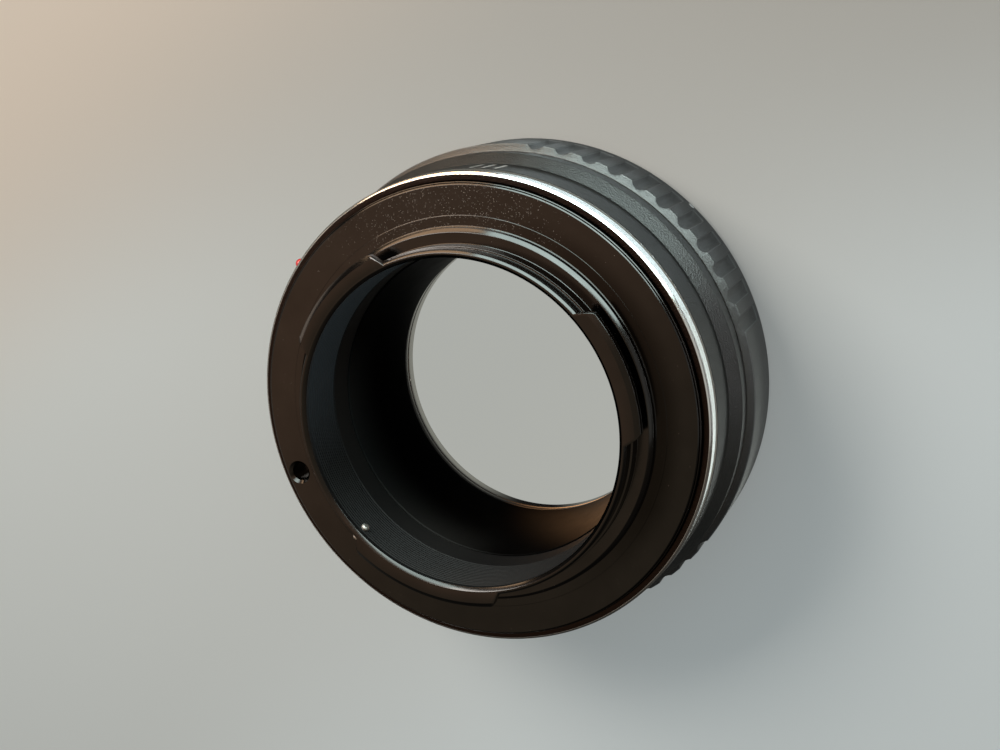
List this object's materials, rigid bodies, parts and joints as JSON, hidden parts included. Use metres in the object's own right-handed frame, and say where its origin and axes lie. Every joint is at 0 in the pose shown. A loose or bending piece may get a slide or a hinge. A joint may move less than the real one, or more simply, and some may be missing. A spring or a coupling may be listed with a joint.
{
  "type": "lens mount adapter",
  "caption": "Round lens mount adapter with a male bayonet for a mirrorless camera, a turned black barrel with a bright rim band, and a fluted lock ring round a lugged lens plate.",
  "frame": {"origin": "on the optical axis in the plane of the lens seat, which the adapter stands on", "axes": "+Z along the optical axis from the lens seat towards the camera flange, +X to the right and +Y to the top as the picture shows the camera side"},
  "size_m": [0.0644, 0.0644, 0.029],
  "materials": {
    "black_chrome": "satin black plated",
    "black_anodised": "fine blasted black anodised with a bright turned rim band",
    "grip_anodised": "fine blasted dark anodised",
    "matt_black": "matt black",
    "bright_plate": "polished",
    "steel": "polished",
    "red_enamel": "gloss",
    "white_slip": "smooth"
  },
  "bodies": {
    "adapter_body": {"bayonet_plate": "black_chrome", "stop_pin": "steel", "bayonet_screws": "steel", "main_barrel": "black_anodised", "index_bead": "red_enamel", "inner_baffle": "matt_black", "lens_mount_plate": "bright_plate", "lens_mount_screws": "steel", "slide_washer": "white_slip"},
    "ring_group": {"lock_ring": "grip_anodised", "drive_screw": "steel", "drive_lever": "steel"}
  },
  "joints": [
    {"name": "lock_ring_turn", "type": "hinge", "parent": "adapter_body", "child": "ring_group", "pos_m": [0, 0, 0.005], "axis": [0, 0, 1], "range_deg": [0, 40]}
  ]
}
